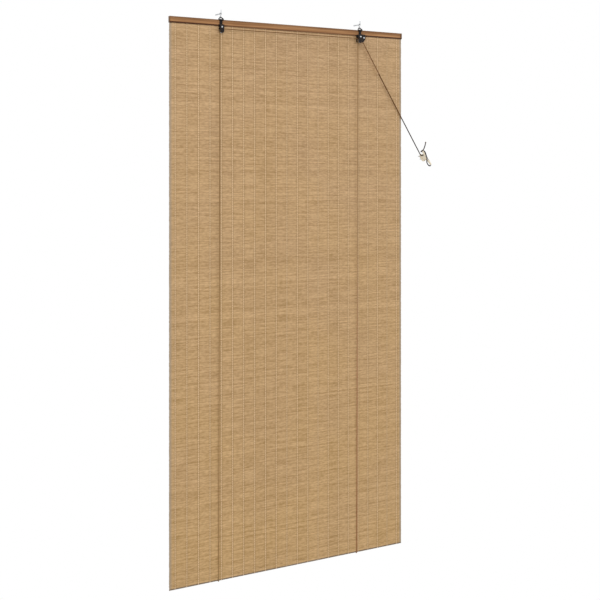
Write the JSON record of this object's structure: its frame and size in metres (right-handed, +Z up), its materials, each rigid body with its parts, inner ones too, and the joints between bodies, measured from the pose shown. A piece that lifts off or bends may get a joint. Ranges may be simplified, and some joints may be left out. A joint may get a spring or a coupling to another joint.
{
  "type": "bamboo_roller_blind",
  "caption": "Bamboo slat roller blind with a wooden head rail, lift cords over a pulley and a cord lock, screw hooks and a wall cleat",
  "frame": {"origin": "midway between the two wall hooks, on the wall's face at the height of the hook arms", "axes": "X runs right along the wall, Y runs into the wall, Z is up"},
  "size_m": [0.9174, 0.0504, 1.6304],
  "materials": {
    "bamboo": "natural bamboo, matte, fine streaks across",
    "thread": "pale tan twisted cotton thread",
    "rail_wood": "red-brown stained wood, satin",
    "dark_steel": "dark brown lacquered sheet steel",
    "zinc": "bright zinc plate",
    "brown_wire": "tan lacquered staple wire",
    "lift_cord": "tan braided cord",
    "cord": "dark brown braided cord",
    "cream_plastic": "cream moulded plastic, slightly glossy"
  },
  "bodies": {
    "blind": {"head_rail_front": "rail_wood", "head_rail_back": "rail_wood", "rail_nails": "zinc", "slat_mat": "bamboo", "warp_threads": "thread", "left_wall_hook": "zinc", "right_wall_hook": "zinc", "left_hook_link": "zinc", "right_hook_link": "zinc", "left_hanger_ring": "dark_steel", "right_hanger_ring": "dark_steel", "pulley_plate": "dark_steel", "pulley_cheek": "dark_steel", "pulley_rivet": "zinc", "pulley_axle": "dark_steel", "pulley_screw": "dark_steel", "lock_plate": "dark_steel", "lock_cheek": "dark_steel", "lock_rivet": "zinc", "lock_axle": "dark_steel", "cam_pin": "zinc", "lock_screw": "dark_steel", "left_lift_cord": "lift_cord", "right_lift_cord": "lift_cord", "left_pull_cord": "lift_cord", "right_pull_cord": "lift_cord", "pull_cord": "cord", "cord_knots": "cord", "cord_staples": "zinc", "cleat": "cream_plastic", "cleat_screws": "zinc"},
    "bar": {"bottom_bar": "rail_wood", "bar_staples": "brown_wire"},
    "pulley_wheel_body": {"pulley_wheel": "zinc"},
    "lock_wheel_body": {"lock_wheel": "zinc"},
    "cam_body": {"lock_cam": "zinc"}
  },
  "joints": [
    {"name": "roll_up", "type": "slide", "parent": "blind", "child": "bar", "axis": [0, 0, 1], "range_m": [0, 1.5], "deforming": ["slat_mat", "warp_threads", "left_lift_cord", "right_lift_cord"]},
    {"name": "pulley_spin", "type": "hinge", "parent": "blind", "child": "pulley_wheel_body", "pos_m": [-0.24, -0.0242, -0.049], "axis": [0, 1, 0], "continuous": true},
    {"name": "lock_spin", "type": "hinge", "parent": "blind", "child": "lock_wheel_body", "pos_m": [0.236, -0.026, -0.049], "axis": [0, 1, 0], "continuous": true},
    {"name": "cam_swing", "type": "hinge", "parent": "blind", "child": "cam_body", "pos_m": [0.248, -0.026, -0.041], "axis": [0, 1, 0], "range_deg": [0, 55]}
  ],
  "couplings": [
    {"joint": "pulley_spin", "follows": "roll_up", "rad_per_m": 357.14},
    {"joint": "lock_spin", "follows": "roll_up", "rad_per_m": 357.14}
  ]
}
